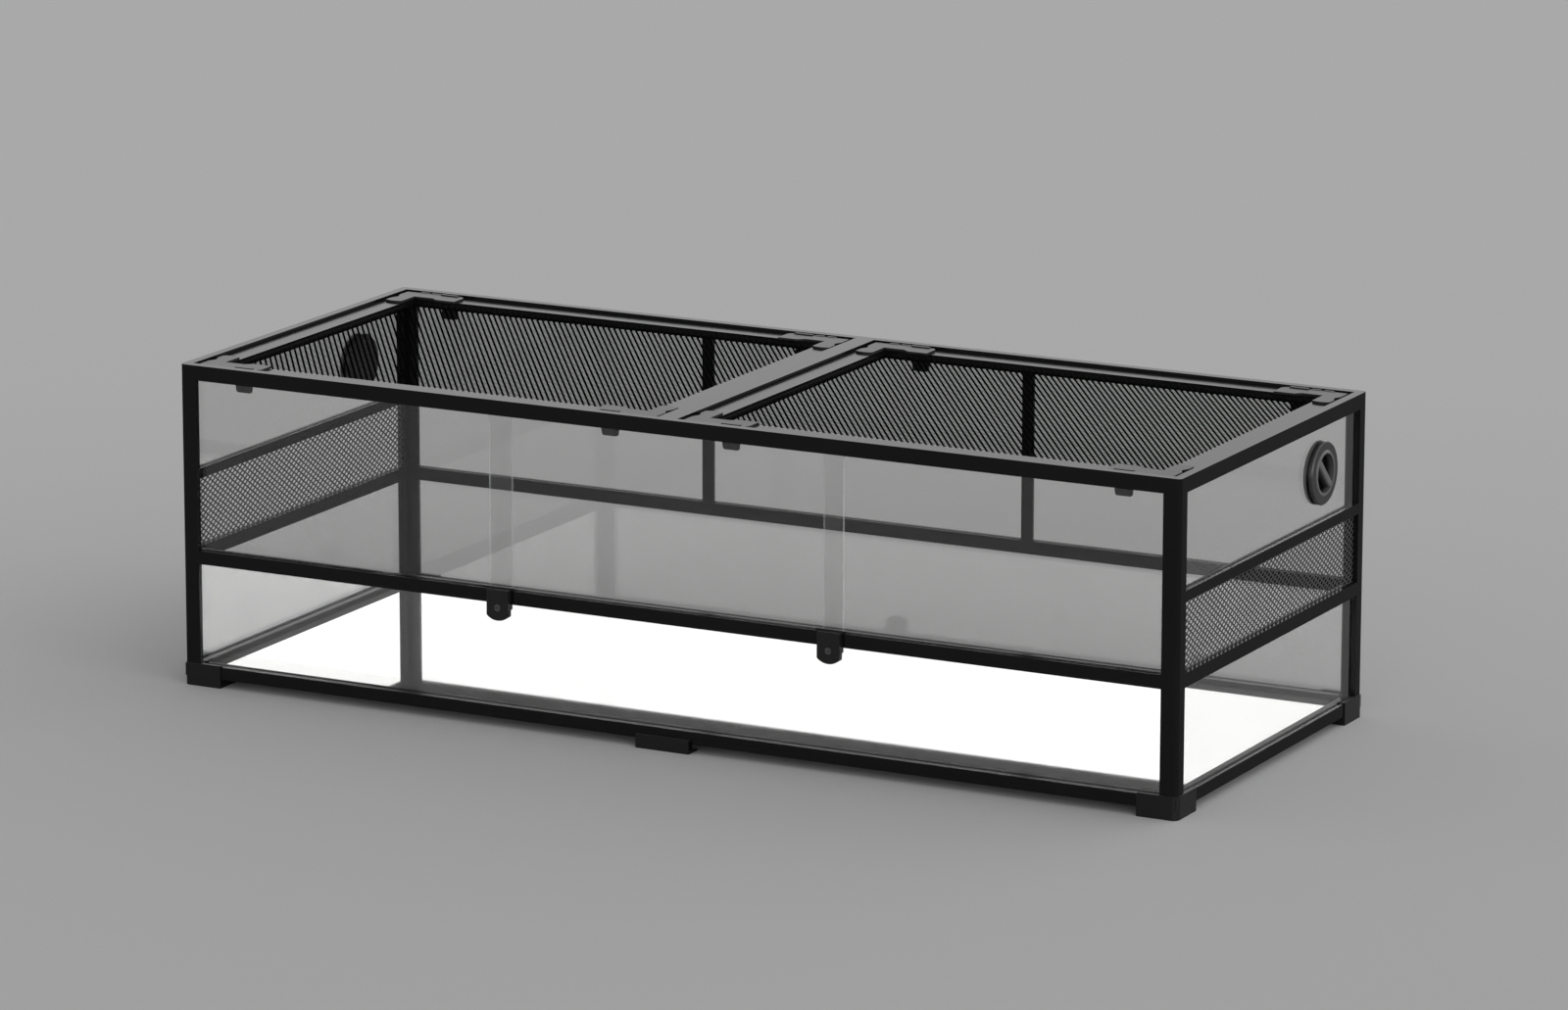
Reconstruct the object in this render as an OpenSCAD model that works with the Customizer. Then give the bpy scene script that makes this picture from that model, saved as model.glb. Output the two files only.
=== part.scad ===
// Glass reptile terrarium: a black frame of extruded bars on plastic feet,
// three lapped sliding doors over a glass base, and two lift-off mesh lids.
// Origin at the middle of the footprint on the table, +X to the right along
// the doors, the doors towards -Y, +Z up. Millimetres.

/* [Overall size] */
// Length over the corner feet
length = 1524; // [1200:1:1800]
// Depth over the corner feet
depth = 609.6; // [450:0.1:760]
// Height to the top of the frame
height = 457.2; // [420:0.1:620]

/* [Bottom frame] */
// Height of the bottom rails above the table
rail_lift = 12.8; // [8:0.1:25]
// Height of a bottom rail
rail_h = 17.6; // [14:0.1:30]
// Width of a bottom rail across its section
rail_w = 20; // [18:0.5:30]
// Height of the floor panel's underside above the table
floor_z = 17; // [14:0.5:19]
// Thickness of the floor panel
floor_t = 5; // [3:0.5:5]

/* [Posts and cross bars] */
// Width of a post seen from the front, over its front or rear leg
post_w = 25; // [20:0.5:35]
// Width of a post seen from the side, over its side leg
post_d = 21; // [19:0.5:35]
// Radius of a post's outer edge
post_r = 5.5; // [2:0.5:10]
// Underside of the sill and the mid rails above the table
mid_z = 174.8; // [120:0.1:200]
// Height of the sill and the mid rails
mid_h = 19.2; // [18:0.1:25]
// Depth of the mid rails, vent rails, mullions and the posts' side and rear legs
bar_d = 13; // [12:0.5:18]
// Depth of the sill under the doors
sill_d = 18; // [17:0.5:25]
// Underside of the bar over each side vent
vent_z = 290; // [250:1:310]
// Height of the bar over each side vent
vent_h = 15; // [10:0.5:20]
// Distance of a rear mullion from the middle
mullion_x = 253; // [180:1:320]
// Width of a rear mullion
mullion_w = 13.5; // [10:0.5:30]

/* [Top frame] */
// Height of a top rail
top_h = 21.2; // [19:0.1:30]
// Width of a top rail's top face
top_w = 13; // [12.5:0.1:18]
// Width of the ledge that carries the lids
ledge_w = 5; // [3:0.5:8]
// Thickness of that ledge
ledge_t = 5.2; // [3:0.1:6]
// Width of the bar between the two lids
centre_w = 29; // [20:1:45]

/* [Glass] */
// Thickness of the fixed glass
glass_t = 5; // [4:0.5:6]
// Distance of the fixed glass behind the frame's outer face
glass_in = 5; // [4:0.1:5.5]
// Distance of the front base glass behind the frame's outer face
front_in = 10.7; // [10.2:0.1:11.2]
// How far a pane enters the groove that holds it
bite = 3; // [2:0.1:4]
// Clearance round a pane in its groove
pane_gap = 0.25; // [0.1:0.05:0.4]

/* [Doors] */
// Thickness of a door pane
door_t = 4; // [3:0.5:4.5]
// Running clearance of a door on each side of its groove
door_gap = 0.25; // [0.15:0.05:0.5]
// Thickness of the track's outer lip
track_lip = 1.6; // [1:0.1:1.6]
// Thickness of the wall between the two grooves
track_wall = 1; // [0.8:0.1:1.1]
// Depth of the grooves in the sill
sill_groove = 8; // [5:0.5:10]
// Wall left over the grooves in the top rail
track_roof = 2.2; // [1.5:0.1:4]
// Lift that a door needs to come out of the sill
door_lift = 10.5; // [9:0.1:12]
// Distance of each lap's centre from the middle
lap_x = 254; // [190:1:320]
// Width of each lap
lap_w = 32; // [20:1:50]
// Clearance between a closed outer door and the post's side leg
door_stop = 0.9; // [0.5:0.1:1.5]

/* [Mesh] */
// Thickness of a mesh sheet
mesh_t = 1.2; // [0.8:0.1:2]
// Width of a strand
strand = 3; // [1.5:0.1:5]
// Diamonds of a vent sheet along its length
vent_nx = 20; // [6:1:24]
// Rows of diamonds of a vent sheet
vent_ny = 5; // [2:1:6]
// Diamonds of a lid sheet across
lid_nx = 13; // [4:1:16]
// Rows of diamonds of a lid sheet
lid_ny = 7; // [4:1:9]

/* [Lids] */
// Gap between a lid and the frame round it
lid_gap = 2; // [1:0.1:3]
// Clearance over and under the mesh in its groove
mesh_gap = 0.1; // [0.05:0.05:0.2]
// Height of a lid frame
lid_h = 11.5; // [10:0.1:14]
// Width of a lid frame's bars
lid_w = 32; // [31:0.5:45]
// Depth of the bars' inner wall above the bead
bead_drop = 5; // [3:0.1:6]
// Width of the bead that runs round inside the bars
bead_w = 1.2; // [0.5:0.1:2]
// Height of the mesh above the lid's underside
mesh_up = 1.4; // [1:0.1:3]
// How far the mesh enters the bars
mesh_bite = 4; // [2:0.1:6]

/* [Lid corners and latches] */
// Distance of a corner piece inside the lid's edge
corner_in = 4.5; // [3:0.1:6]
// Width of a corner piece's legs
corner_leg = 26; // [22:0.5:26]
// Thickness of a corner piece
corner_t = 2.9; // [1.5:0.1:4]
// Length of the long leg
corner_long = 96; // [90:1:120]
// Length of the short leg
corner_short = 66; // [50:1:90]
// Extra width of the long leg where it carries its latch
corner_flare = 7.5; // [4:0.1:9]
// Length of that wider part
flare_l = 30; // [28:0.5:36]
// Length of the slope between the two widths
flare_slope = 9; // [4:0.5:14]
// Size of the bevel on the long leg's outer end
corner_bevel = 4; // [2:0.5:8]
// Rise of the short leg's curved end
corner_arc = 3.5; // [1.5:0.1:8]
// Distance of the notch in the short leg from the corner
notch_at = 24; // [18:0.5:26]
// Length of that notch along the edge
notch_l = 24; // [12:0.5:26]
// Depth of that notch
notch_d = 5; // [2:0.1:8]
// Length of each of the two oval tabs on the outer edge
tab_l = 15; // [10:0.1:18]
// Width of an oval tab
tab_w = 5.4; // [3:0.1:7]
// Height of the tabs above the corner piece
tab_up = 0.6; // [0.3:0.1:1]
// Distance of the first tab's near end from the corner
tab_at = 21; // [16:0.5:24]
// Gap between the two tabs
tab_gap = 3.5; // [1:0.1:4]
// Distance of a latch's middle from the lid's end
latch_x = 75.7; // [70:0.1:80]
// Width of a latch at its top
latch_w = 27.5; // [20:0.1:30]
// Width of a latch at its tip
latch_tip = 24; // [16:0.1:27]
// Thickness of a latch
latch_t = 4.6; // [3.5:0.1:5]
// Reach of a latch below the lid
latch_drop = 19.7; // [15:0.1:30]
// Height of a latch's head above its corner piece
latch_head = 1.6; // [1:0.1:3]
// Width of the slot that shows on the inner side of a latch's head
latch_slot = 2.2; // [1:0.1:3]
// Radius of a latch's lower corners
latch_r = 3; // [1:0.1:5]
// Width of the ears that hold a latch's pins
ear_w = 2.4; // [2:0.1:4]
// Depth of the hook in a latch's face
hook_d = 1.4; // [0.5:0.1:2]
// Distance of the hook below the frame's ledge
hook_down = 1; // [0.5:0.1:2]
// Height of the hook's notch
hook_h = 5; // [3:0.1:7]
// Diameter of a latch's pivot pins
pin_d = 3; // [2:0.1:3.5]
// Radial clearance round the pivot pins
pin_gap = 0.1; // [0.05:0.01:0.15]
// Distance of a latch from the ledge beside it
latch_gap = 0.3; // [0.2:0.05:0.5]
// Swing of a latch in degrees that its slot allows
latch_swing = 12; // [5:1:14]

/* [Cable ports] */
// Distance of a port's centre in front of the rear post
port_in = 117.2; // [60:0.1:200]
// Diameter of a port's flange and of its nut
port_d = 87.5; // [76:0.5:100]
// Width of the flange round the port's tube
port_lip = 10.75; // [8:0.05:14]
// Thickness of the flange outside the glass
port_flange = 5; // [4:0.1:7]
// Bevel on the outer edges of the flange and of the nut
port_bevel = 1.5; // [0.5:0.1:2.5]
// Thickness of the nut inside the glass
port_nut_t = 4; // [3:0.5:14]
// Wall of the port's tube
port_wall = 2.75; // [2:0.05:5]
// How far the cap's rim reaches over the tube's wall
rim_over = 1.25; // [0.8:0.05:2]
// Thickness of the cap's rim below the flange's face
rim_t = 2; // [1.5:0.1:3]
// Radial clearance between the cap and the tube
cap_gap = 0.1; // [0.05:0.01:0.2]
// Height of the cap's bevelled face above the flange
cap_proud = 1.4; // [0.5:0.1:1.5]
// Thickness of the floor of the cap's finger recess
cap_floor = 2; // [1.5:0.1:3]
// Wall of the cap
cap_shell = 3; // [2:0.1:4]
// Width of the grip across the recess
grip_w = 11; // [6:0.5:14]
// Depth of the grip below the cap's face
grip_in = 0.5; // [0.2:0.1:1.5]
// Radius of the grip's upper edges
grip_r = 3; // [1:0.1:5]

/* [Locks] */
// Distance of a lock from the middle
lock_x = 253; // [190:1:320]
// Width of a lock
lock_w = 34.2; // [30:0.1:44]
// Distance of a lock's face in front of the sill
lock_out = 7.8; // [6:0.1:12]
// Length of a lock below the top of the sill
lock_drop = 42; // [38:0.5:60]
// Radius of a lock's lower end
lock_r = 24.4; // [22:0.1:30]
// Thickness of the lip over the sill
lock_lip = 1.2; // [0.8:0.1:2]
// Height of the jaw under the sill
lock_jaw = 7; // [5:0.1:12]
// Reach of the jaw under the sill
lock_reach = 4; // [3:0.1:8]
// Length of the stop strip that stands on the sill behind the lock
strip_l = 46; // [40:1:60]
// Height of the stop strip
strip_h = 3.5; // [2:0.1:5]
// Diameter of the key plug
plug_d = 9.6; // [7:0.1:11]
// Radial clearance round the key plug
plug_gap = 0.1; // [0.05:0.01:0.15]
// Height of the plug above the lock's lower end
plug_up = 18; // [14:0.1:22]
// How far the plug's face stands out from the lock
plug_out = 0.6; // [0.2:0.1:1.5]
// Diameter of the collar that keeps the plug in
plug_collar = 12.4; // [12:0.1:14]
// Thickness of that collar, and of the cam
cam_t = 1.5; // [1:0.1:2]
// Diameter of the plug's tail
tail_d = 6; // [4:0.1:8]
// Length of the cam on the plug's tail
cam_l = 17; // [10:0.5:17]
// Width of the cam
cam_w = 7; // [5:0.5:9]

/* [Feet] */
// Size of a corner foot along the front
foot_x = 59; // [50:1:90]
// Size of a corner foot along the side
foot_y = 60; // [50:1:90]
// Wall of a corner foot round the rails
cap_wall = 1.6; // [1.2:0.1:2.5]
// Radius of a corner foot's outer edge
foot_r = 9; // [4:0.5:14]
// Length of a middle foot
mid_foot_l = 81.6; // [50:0.1:120]
// Distance of a middle foot in front of the rail
mid_foot_out = 5.8; // [4:0.1:10]
// Height of a middle foot
mid_foot_h = 19; // [15:0.1:24]
// Wall of a middle foot
mid_foot_t = 2; // [1.5:0.1:3]
// Distance of a middle foot's outer ribs from its middle
mid_foot_rib = 33; // [15:0.5:36]

/* [Hidden] */
$fn = 64;
eps = 0.01;
x_face = length / 2 - cap_wall;
y_face = depth / 2 - cap_wall;
rail_top = rail_lift + rail_h;
mid_top = mid_z + mid_h;
vent_top = vent_z + vent_h;
top_z = height - top_h;
ledge_z = top_z + ledge_t;
x_post = x_face - post_w;
y_post = y_face - post_d;
x_leg = x_face - bar_d;
lid_top = ledge_z + lid_h;

// Gap between fittings that are clipped or snapped together
fit = 0.3;

// Fixed panes: where each one lies across its own thickness
side_x = [x_face - glass_in - glass_t, x_face - glass_in];
rear_y = [y_face - glass_in - glass_t, y_face - glass_in];
base_y = [-y_face + front_in, -y_face + front_in + glass_t];
vent_x = [x_face - glass_in - glass_t / 2 - mesh_t / 2, x_face - glass_in - glass_t / 2 + mesh_t / 2];

// Door tracks: two grooves behind the outer lip, and the panes in them
groove_w = door_t + 2 * door_gap;
track_front = [-y_face + track_lip, -y_face + track_lip + groove_w];
track_rear = [track_front[1] + track_wall, track_front[1] + track_wall + groove_w];
door_z = [mid_top - sill_groove + door_gap, height - track_roof - door_lift];

// Cable ports: centre, tube, bore and rim of the right one
port_y = y_post - port_in;
port_z = (vent_top + top_z) / 2;
port_tube = port_d - 2 * port_lip;
port_bore = port_tube - 2 * port_wall;
rim_d = port_bore + 2 * rim_over;

// Lids: outline of the right one
lid_x = [centre_w / 2 + lid_gap, x_face - top_w - lid_gap];
lid_y = y_face - top_w - lid_gap;
mesh_z = [ledge_z + mesh_up, ledge_z + mesh_up + mesh_t];
latch_y = y_face - top_w - ledge_w - latch_gap - latch_t / 2;
pivot_z = ledge_z + 0.6 * lid_h;

// Box over three [low, high] ranges, grown by g on every side
module slab(x, y, z, g = 0) {
    translate([x[0] - g, y[0] - g, z[0] - g])
        cube([x[1] - x[0] + 2 * g, y[1] - y[0] + 2 * g, z[1] - z[0] + 2 * g]);
}

// The right side as drawn, or its mirror image on the left
module on_side(s) {
    mirror([s < 0 ? 1 : 0, 0, 0]) children();
}

// The rear as drawn, or its mirror image at the front
module on_end(s) {
    mirror([0, s < 0 ? 1 : 0, 0]) children();
}

// Rectangle with round corners, about the origin
module round_rect(w, d, r) {
    square([w - 2 * r, d], center = true);
    square([w, d - 2 * r], center = true);
    for (x = [-1, 1], y = [-1, 1])
        translate([x * (w / 2 - r), y * (d / 2 - r)]) circle(r);
}

// Frame's outline, with the posts' radius at its corners
module frame_outline(z) {
    translate([0, 0, z[0]]) linear_extrude(z[1] - z[0])
        round_rect(2 * x_face, 2 * y_face, post_r);
}

// Wedge that mitres a bar along X at the rear of a frame, reach wide
module mitre_x(w, d, reach, z) {
    translate([0, 0, z[0]]) linear_extrude(z[1] - z[0])
        polygon([[-w / 2, d / 2], [w / 2, d / 2], [w / 2 - reach, d / 2 - reach],
                 [reach - w / 2, d / 2 - reach]]);
}

// The same for a bar along Y at the right of a frame
module mitre_y(w, d, reach, z) {
    translate([0, 0, z[0]]) linear_extrude(z[1] - z[0])
        polygon([[w / 2, -d / 2], [w / 2, d / 2], [w / 2 - reach, d / 2 - reach],
                 [w / 2 - reach, reach - d / 2]]);
}

// Fixed panes, each grown by g where it cuts its own groove
module side_base_pane(g = 0) {
    slab(side_x, [-y_post - bite, y_post + bite], [rail_top - bite, mid_z + bite], g);
}

module side_upper_pane(g = 0) {
    slab(side_x, [-y_post - bite, y_post + bite], [vent_top - bite, top_z + bite], g);
}

module vent_sheet(g = 0) {
    slab(vent_x, [-y_post - bite, y_post + bite], [mid_top - bite, vent_z + bite], g);
}

module rear_base_pane(g = 0) {
    slab([-x_post - bite, x_post + bite], rear_y, [rail_top - bite, mid_z + bite], g);
}

module front_base_pane(g = 0) {
    slab([-x_leg - bite, x_leg + bite], base_y, [rail_top - bite, mid_z + bite], g);
}

// Upper rear panes: middle one for s = 0, right one for s = 1
module rear_upper_pane(s, g = 0) {
    edge = mullion_x - mullion_w / 2 + bite;
    x = s == 0 ? [-edge, edge] : [mullion_x + mullion_w / 2 - bite, x_post + bite];
    slab(x, rear_y, [mid_top - bite, top_z + bite], g);
}

module floor_sheet(g = 0) {
    slab([-x_face + rail_w - bite, x_face - rail_w + bite],
         [-y_face + rail_w - bite, y_face - rail_w + bite], [floor_z, floor_z + floor_t], g);
}

// Both door grooves over a height range, up to the posts' side legs or over them
module door_tracks(z, over = 0) {
    x = x_leg + over;
    slab([-x, x], track_front, z);
    slab([-x, x], track_rear, z);
}

module bottom_rail_x(s) {
    z = [rail_lift, rail_top];
    color("#1c1c1e") difference() {
        on_end(s) intersection() {
            mitre_x(2 * x_face, 2 * y_face, rail_w, z);
            frame_outline(z);
        }
        if (s < 0) front_base_pane(pane_gap);
        if (s > 0) rear_base_pane(pane_gap);
        floor_sheet(pane_gap);
    }
}

module bottom_rail_y(s) {
    z = [rail_lift, rail_top];
    color("#1c1c1e") on_side(s) difference() {
        intersection() {
            mitre_y(2 * x_face, 2 * y_face, rail_w, z);
            frame_outline(z);
        }
        side_base_pane(pane_gap);
        front_base_pane(pane_gap);
        floor_sheet(pane_gap);
    }
}

// Rear right foot: a block under the rails, outer walls and a lip over them
module corner_foot() {
    x0 = length / 2 - foot_x;
    y0 = depth / 2 - foot_y;
    lip = glass_in - pane_gap - eps;
    difference() {
        intersection() {
            slab([x0, length / 2], [y0, depth / 2], [0, rail_top + cap_wall]);
            linear_extrude(rail_top + cap_wall) round_rect(length, depth, foot_r);
        }
        slab([x0 - 1, x_face], [y0 - 1, y_face], [rail_lift, rail_top]);
        slab([x0 - 1, x_face - lip], [y0 - 1, y_post], [rail_top - 1, rail_top + cap_wall + 1]);
        slab([x0 - 1, x_post], [y0 - 1, y_face - lip], [rail_top - 1, rail_top + cap_wall + 1]);
    }
    // Corner of the cavity, filled out to the rails' rounded corner
    difference() {
        slab([x_face - post_r, x_face], [y_face - post_r, y_face], [rail_lift, rail_top]);
        translate([x_face - post_r, y_face - post_r, rail_lift - 1])
            cylinder(r = post_r, h = rail_h + 2);
    }
}

module corner_feet() {
    color("#1a1a1b") for (x = [-1, 1], y = [-1, 1]) on_side(x) on_end(y) difference() {
        corner_foot();
        side_base_pane(pane_gap);
        if (y > 0) rear_base_pane(pane_gap);
        if (y < 0) mirror([0, 1, 0]) front_base_pane(pane_gap);
    }
}

// Middle feet: a front plate with a flange to the rail and a base plate under it
module middle_feet() {
    x = mid_foot_l / 2;
    face = y_face + mid_foot_out;
    color("#1a1a1b") for (s = [-1, 1]) on_end(s) {
        slab([-x, x], [face - mid_foot_t, face], [0, mid_foot_h]);
        slab([-x, x], [y_face, face - mid_foot_t + eps], [mid_foot_h - mid_foot_t, mid_foot_h]);
        slab([-x, x], [y_face - rail_w, face - mid_foot_t + eps], [0, mid_foot_t]);
        for (r = [-1, 0, 1])
            slab([r * mid_foot_rib - mid_foot_t / 2, r * mid_foot_rib + mid_foot_t / 2],
                 [y_face - rail_w + mid_foot_t, y_face - mid_foot_t], [mid_foot_t - eps, rail_lift]);
    }
}

// Post at the rear right before its grooves are cut: an angle with a leg along the side
// and a wider one across it, which at the front ends at the outer doors
module post_blank(sy) {
    z = [rail_top + cap_wall, top_z];
    leg = sy < 0 ? track_rear[0] + y_face : bar_d;
    intersection() {
        frame_outline(z);
        union() {
            slab([x_leg, x_face], [y_post, y_face], z);
            slab([x_post, x_face], [y_face - leg, y_face], z);
        }
    }
}

module post(sx, sy) {
    color("#1c1c1e") difference() {
        on_side(sx) on_end(sy) post_blank(sy);
        on_side(sx) {
            side_base_pane(pane_gap);
            side_upper_pane(pane_gap);
            vent_sheet(pane_gap);
        }
        if (sy > 0) {
            rear_base_pane(pane_gap);
            on_side(sx) rear_upper_pane(1, pane_gap);
        }
        if (sy < 0) front_base_pane(pane_gap);
    }
}

// Sill between the posts' side legs, notched round their front legs
module sill_rail() {
    color("#1c1c1e") difference() {
        slab([-x_leg, x_leg], [-y_face, -y_face + sill_d], [mid_z, mid_top]);
        for (s = [-1, 1]) on_side(s)
            slab([x_post, x_leg + 1], [-y_face - 1, track_rear[0]], [mid_z - 1, mid_top + 1]);
        front_base_pane(pane_gap);
        door_tracks([mid_top - sill_groove, mid_top + 1], 1);
    }
}

module mid_rail_rear() {
    color("#1c1c1e") difference() {
        slab([-x_post, x_post], [y_face - bar_d, y_face], [mid_z, mid_top]);
        rear_base_pane(pane_gap);
        rear_upper_pane(0, pane_gap);
        for (s = [-1, 1]) on_side(s) rear_upper_pane(1, pane_gap);
    }
}

module mid_rail_side(s) {
    color("#1c1c1e") on_side(s) difference() {
        slab([x_face - bar_d, x_face], [-y_post, y_post], [mid_z, mid_top]);
        side_base_pane(pane_gap);
        vent_sheet(pane_gap);
    }
}

module vent_rail(s) {
    color("#1c1c1e") on_side(s) difference() {
        slab([x_face - bar_d, x_face], [-y_post, y_post], [vent_z, vent_top]);
        vent_sheet(pane_gap);
        side_upper_pane(pane_gap);
    }
}

module rear_mullion(s) {
    color("#1c1c1e") on_side(s) difference() {
        slab([mullion_x - mullion_w / 2, mullion_x + mullion_w / 2], [y_face - bar_d, y_face],
             [mid_top, top_z]);
        rear_upper_pane(0, pane_gap);
        rear_upper_pane(1, pane_gap);
    }
}

// Top rails: a bar with an inner ledge that carries the lids
module top_rail_x(s) {
    reach = top_w + ledge_w;
    z = [top_z, height];
    color("#1c1c1e") difference() {
        on_end(s) intersection() {
            mitre_x(2 * x_face, 2 * y_face, reach, z);
            frame_outline(z);
            union() {
                slab([-x_face, x_face], [y_face - top_w, y_face], z);
                slab([-x_face, x_face], [y_face - reach, y_face], [top_z, ledge_z]);
            }
        }
        if (s > 0) {
            rear_upper_pane(0, pane_gap);
            for (side = [-1, 1]) on_side(side) rear_upper_pane(1, pane_gap);
        }
        if (s < 0) door_tracks([top_z - 1, height - track_roof]);
    }
}

module top_rail_y(s) {
    reach = top_w + ledge_w;
    z = [top_z, height];
    color("#1c1c1e") on_side(s) difference() {
        intersection() {
            mitre_y(2 * x_face, 2 * y_face, reach, z);
            frame_outline(z);
            union() {
                slab([x_face - top_w, x_face], [-y_face, y_face], z);
                slab([x_face - reach, x_face], [-y_face, y_face], [top_z, ledge_z]);
            }
        }
        side_upper_pane(pane_gap);
    }
}

module top_centre_bar() {
    y_top = y_face - top_w;
    x = centre_w / 2;
    color("#1c1c1e") {
        slab([-x, x], [-y_top, y_top], [ledge_z, height]);
        slab([-x, x], [ledge_w - y_top, y_top - ledge_w], [top_z, ledge_z + eps]);
        slab([-x - ledge_w, x + ledge_w], [ledge_w - y_top, y_top - ledge_w], [top_z, ledge_z]);
    }
}

module floor_panel() {
    color("#f2f2f0") floor_sheet();
}

module base_glass_side(s) {
    color("#cfe0dc", 0.35) on_side(s) side_base_pane();
}

module side_glass(s) {
    color("#cfe0dc", 0.35) on_side(s) difference() {
        side_upper_pane();
        port_axis(side_x[0] - 1) cylinder(d = port_tube + 2 * pane_gap, h = glass_t + 2);
    }
}

module rear_glass() {
    color("#cfe0dc", 0.35) {
        rear_upper_pane(0);
        for (s = [-1, 1]) on_side(s) rear_upper_pane(1);
    }
}

// Diamonds over a w by h field about the origin, nx along it and ny rows,
// with as many again between them, cut off where the field ends
module diamonds(w, h, nx, ny) {
    px = w / nx;
    py = h / ny;
    gx = px / 2 - strand / 2 * norm([px, py]) / py;
    gy = py / 2 - strand / 2 * norm([px, py]) / px;
    intersection() {
        square([w, h], center = true);
        for (k = [0, 1], i = [0 : nx - 1 + k], j = [0 : ny - 1 + k])
            translate([(i + (1 - k) / 2) * px - w / 2, (j + (1 - k) / 2) * py - h / 2])
                polygon([[-gx, 0], [0, -gy], [gx, 0], [0, gy]]);
    }
}

module vent_mesh(s) {
    color("#151516") on_side(s) difference() {
        vent_sheet();
        translate([vent_x[0] - 1, 0, (mid_top + vent_z) / 2]) rotate([90, 0, 90])
            linear_extrude(mesh_t + 2) diamonds(2 * y_post, vent_z - mid_top, vent_nx, vent_ny);
    }
}

// Things drawn along +Z from the port's centre, turned to point out of the right side
module port_axis(x) {
    translate([x, port_y, port_z]) rotate([0, 90, 0]) children();
}

// Flange outside the glass and the tube that carries the nut and the cap
module port_collar(s) {
    r = port_d / 2;
    tube = port_nut_t + glass_t;
    color("#1e1e20") on_side(s) port_axis(side_x[1]) rotate_extrude()
        polygon([[port_bore / 2, -tube], [port_tube / 2, -tube], [port_tube / 2, 0], [r, 0],
                 [r, port_flange - port_bevel], [r - port_bevel, port_flange],
                 [rim_d / 2 + 2 * cap_gap, port_flange],
                 [rim_d / 2 + 2 * cap_gap, port_flange - rim_t], [port_bore / 2, port_flange - rim_t]]);
}

module port_nuts() {
    r = port_d / 2;
    color("#1e1e20") for (s = [-1, 1]) on_side(s) port_axis(side_x[0] - port_nut_t) rotate_extrude()
        polygon([[port_tube / 2 + pane_gap, 0], [r - port_bevel, 0], [r, port_bevel], [r, port_nut_t],
                 [port_tube / 2 + pane_gap, port_nut_t]]);
}

// Cap: a cup with a bevelled rim on the flange and a grip across its finger recess
module port_cap(s) {
    flush = port_nut_t + glass_t + port_flange;
    cup = flush + cap_proud;
    r = port_bore / 2 - cap_gap;
    grip_h = cup - cap_floor - grip_in;
    color("#1b1b1d") on_side(s) port_axis(side_x[0] - port_nut_t) {
        difference() {
            union() {
                cylinder(r = r, h = flush);
                translate([0, 0, flush - rim_t + cap_gap]) cylinder(d = rim_d, h = rim_t - cap_gap);
                translate([0, 0, flush]) cylinder(d1 = rim_d, d2 = rim_d - 2 * cap_proud, h = cap_proud);
            }
            translate([0, 0, cap_floor]) cylinder(r = r - cap_shell, h = cup);
        }
        intersection() {
            translate([0, 0, cap_floor - eps]) cylinder(r = r - cap_shell + eps, h = cup);
            rotate([0, 0, 45]) translate([-r, 0, cap_floor - eps]) rotate([90, 0, 90])
                linear_extrude(2 * r) union() {
                    translate([-grip_w / 2, 0]) square([grip_w, grip_h - grip_r]);
                    translate([grip_r - grip_w / 2, 0]) square([grip_w - 2 * grip_r, grip_h]);
                    for (e = [-1, 1])
                        translate([e * (grip_w / 2 - grip_r), grip_h - grip_r]) circle(grip_r);
                }
        }
    }
}

// Lock outline seen from the front, z down from the sill's top
module lock_face(top) {
    intersection() {
        translate([-lock_w / 2, -lock_drop]) square([lock_w, lock_drop + top]);
        union() {
            translate([0, lock_r - lock_drop]) circle(lock_r);
            translate([-lock_w / 2, lock_r - lock_drop]) square([lock_w, lock_drop - lock_r + top]);
        }
    }
}

module lock_body(s) {
    face = -y_face - lock_out;
    back = -y_face - fit;
    w = lock_w / 2;
    plug_z = mid_top - lock_drop + plug_up;
    jaw_z = mid_z - fit;
    pocket = back - cam_t - fit;
    color("#19191a") translate([s * lock_x, 0, 0]) difference() {
        union() {
            translate([0, back, mid_top]) rotate([90, 0, 0]) linear_extrude(back - face)
                lock_face(lock_lip);
            slab([-w, w], [back - eps, -y_face + track_lip], [mid_top, mid_top + lock_lip]);
            slab([-w, w], [back - eps, -y_face + lock_reach], [jaw_z - lock_jaw, jaw_z]);
            slab([-strip_l / 2, strip_l / 2], [-y_face + fit, -y_face + track_lip - pane_gap / 2],
                 [mid_top, mid_top + strip_h]);
        }
        translate([0, face - 1, plug_z]) rotate([-90, 0, 0]) cylinder(d = plug_d, h = lock_out + 1);
        translate([0, pocket, plug_z]) rotate([-90, 0, 0])
            cylinder(d = plug_collar + 2 * plug_gap, h = lock_out);
        slab([-plug_collar / 2 - fit, plug_collar / 2 + fit], [back, -y_face + lock_reach + 1],
             [plug_z - plug_collar, jaw_z + 1]);
    }
}

// Key plug with its slot, the collar that keeps it in, and the cam on its tail
module lock_plug(s) {
    d = plug_d - 2 * plug_gap;
    face = -y_face - lock_out - plug_out;
    collar = -y_face - fit - cam_t;
    tail = -y_face + lock_reach + cam_t + fit;
    slot = d / 8;
    color("#3a3a3c") translate([s * lock_x, 0, mid_top - lock_drop + plug_up]) rotate([-90, 0, 0]) {
        difference() {
            union() {
                translate([0, 0, face]) cylinder(d = d, h = collar - face);
                translate([0, 0, collar]) cylinder(d = plug_collar, h = cam_t);
                translate([0, 0, collar]) cylinder(d = tail_d, h = tail - collar);
            }
            translate([-3 * slot, -slot / 2, face - 1]) cube([6 * slot, slot, lock_out / 2]);
        }
        translate([-cam_w / 2, 0, tail - cam_t]) cube([cam_w, cam_l - cam_w / 2, cam_t]);
        translate([0, cam_l - cam_w / 2, tail - cam_t]) cylinder(d = cam_w, h = cam_t);
    }
}

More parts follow.
